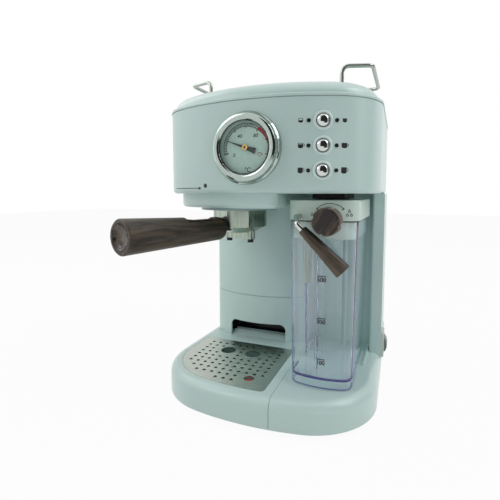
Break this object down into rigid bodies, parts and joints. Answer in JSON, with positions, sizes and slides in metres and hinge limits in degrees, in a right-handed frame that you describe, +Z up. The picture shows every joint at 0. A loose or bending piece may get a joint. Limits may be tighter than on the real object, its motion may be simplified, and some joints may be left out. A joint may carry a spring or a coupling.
{
  "type": "pump espresso machine",
  "caption": "Countertop pump espresso machine with a lever-frothed milk tank, temperature gauge, push buttons, lock-in filter holder, drip tray and lift-out water tank.",
  "frame": {"origin": "on the worktop plane, under the centre of the footprint", "axes": "+X to the machine's right as seen from the front, +Y to the back, +Z up"},
  "size_m": [0.2285, 0.3502, 0.3407],
  "materials": {
    "housing_paint": "satin pale mint-white shell plastic",
    "chrome": "polished plating",
    "steel": "brushed stainless steel",
    "cast_alloy": "satin plated casting",
    "wood": "dark straight-grained walnut",
    "clear_plastic": "clear",
    "black_plastic": "matte black",
    "rubber": "matte",
    "dial_print": "white dial face",
    "indicator": "coloured",
    "board": "green laminate",
    "brass": "machined",
    "pale_plastic": "pale translucent grey-white"
  },
  "bodies": {
    "housing": {"base_tub": "housing_paint", "base_plate": "black_plastic", "base_screws": "steel", "rubber_feet": "rubber", "cord_gland": "black_plastic", "column_lower_panel": "housing_paint", "column_upper_panel": "housing_paint", "rear_housing": "housing_paint", "head_shell": "housing_paint", "head_underside": "housing_paint", "group_trim_ring": "housing_paint", "group_head": "cast_alloy", "group_gasket": "rubber", "shower_screen": "steel", "shower_screw": "steel", "gauge_bezel": "chrome", "gauge_can": "black_plastic", "gauge_dial": "dial_print", "gauge_lens": "clear_plastic", "button_rings": "housing_paint", "indicator_lenses": "indicator", "control_board": "board", "top_cover": "housing_paint", "cup_rail_left": "steel", "cup_rail_right": "steel", "steam_port": "black_plastic", "steam_valve": "brass", "switch_frame": "pale_plastic", "boiler": "steel", "pump": "black_plastic", "pump_mounts": "rubber", "inlet_hose": "rubber", "outlet_hose": "rubber"},
    "portafilter": {"portafilter_bowl": "cast_alloy", "portafilter_neck": "black_plastic", "spout_block": "cast_alloy", "spout_tips": "rubber", "filter_basket": "steel", "portafilter_handle": "wood", "handle_end_cap": "wood"},
    "filter_clip": {"filter_clip": "wood"},
    "gauge_pointer": {"gauge_pointer": "black_plastic"},
    "brew_button_top": {"brew_button_top": "chrome"},
    "brew_button_middle": {"brew_button_middle": "chrome"},
    "brew_button_bottom": {"brew_button_bottom": "chrome"},
    "power_rocker": {"power_rocker": "black_plastic"},
    "drip_tray": {"drip_tray": "housing_paint"},
    "drip_grid": {"drip_grid": "steel"},
    "drip_float": {"drip_float": "indicator"},
    "milk_tank": {"milk_jar": "clear_plastic", "lid_seal": "rubber", "milk_lid": "housing_paint", "milk_pickup_tube": "pale_plastic"},
    "froth_knob": {"froth_knob": "wood", "knob_spindle": "black_plastic"},
    "froth_lever": {"lever_elbow": "chrome", "lever_grip": "wood", "dispensing_tube": "pale_plastic"},
    "water_tank": {"water_tank": "clear_plastic"},
    "water_tank_lid": {"water_tank_lid": "pale_plastic"}
  },
  "joints": [
    {"name": "portafilter_turn", "type": "hinge", "parent": "housing", "child": "portafilter", "pos_m": [-0.038, -0.06, 0.19], "axis": [0, 0, 1], "range_deg": [-40, 10]},
    {"name": "filter_clip_tilt", "type": "hinge", "parent": "portafilter", "child": "filter_clip", "pos_m": [-0.05206, -0.10327, 0.1868], "axis": [-0.9511, 0.309, 0], "range_deg": [0, 20]},
    {"name": "gauge_pointer_turn", "type": "hinge", "parent": "housing", "child": "gauge_pointer", "pos_m": [0, -0.1325, 0.2565], "axis": [0, 1, 0], "range_deg": [-36, 178]},
    {"name": "power_rocker_tilt", "type": "hinge", "parent": "housing", "child": "power_rocker", "pos_m": [0.10834, 0.01696, 0.042], "axis": [-0.0266, 0.9996, 0], "range_deg": [0, 20]},
    {"name": "drip_tray_slide", "type": "slide", "parent": "housing", "child": "drip_tray", "axis": [0, -1, 0], "range_m": [0, 0.12]},
    {"name": "drip_grid_lift", "type": "slide", "parent": "drip_tray", "child": "drip_grid", "axis": [0, 0, 1], "range_m": [0, 0.04]},
    {"name": "drip_float_rise", "type": "slide", "parent": "drip_tray", "child": "drip_float", "axis": [0, 0, 1], "range_m": [0, 0.01]},
    {"name": "milk_tank_slide", "type": "slide", "parent": "housing", "child": "milk_tank", "axis": [0, -1, 0], "range_m": [0, 0.12]},
    {"name": "froth_knob_turn", "type": "hinge", "parent": "milk_tank", "child": "froth_knob", "pos_m": [0.0698, -0.11, 0.1918], "axis": [0, 1, 0], "range_deg": [0, 110]},
    {"name": "froth_lever_turn", "type": "hinge", "parent": "milk_tank", "child": "froth_lever", "pos_m": [0.041, -0.08, 0.1948], "axis": [0, 1, 0], "range_deg": [0, 45]},
    {"name": "water_tank_lift", "type": "slide", "parent": "housing", "child": "water_tank", "axis": [0, 0, 1], "range_m": [0, 0.2]},
    {"name": "water_tank_lid_open", "type": "hinge", "parent": "water_tank", "child": "water_tank_lid", "pos_m": [0, 0.0878, 0.2968], "axis": [1, 0, 0], "range_deg": [0, 80]},
    {"name": "brew_button_top_press", "type": "slide", "parent": "housing", "child": "brew_button_top", "axis": [-0.3589, 0.9334, 0], "range_m": [0, 0.002], "stiffness_N_per_m": 600, "springref_m": -0.0015},
    {"name": "brew_button_middle_press", "type": "slide", "parent": "housing", "child": "brew_button_middle", "axis": [-0.3589, 0.9334, 0], "range_m": [0, 0.002], "stiffness_N_per_m": 600, "springref_m": -0.0015},
    {"name": "brew_button_bottom_press", "type": "slide", "parent": "housing", "child": "brew_button_bottom", "axis": [-0.3589, 0.9334, 0], "range_m": [0, 0.002], "stiffness_N_per_m": 600, "springref_m": -0.0015}
  ]
}
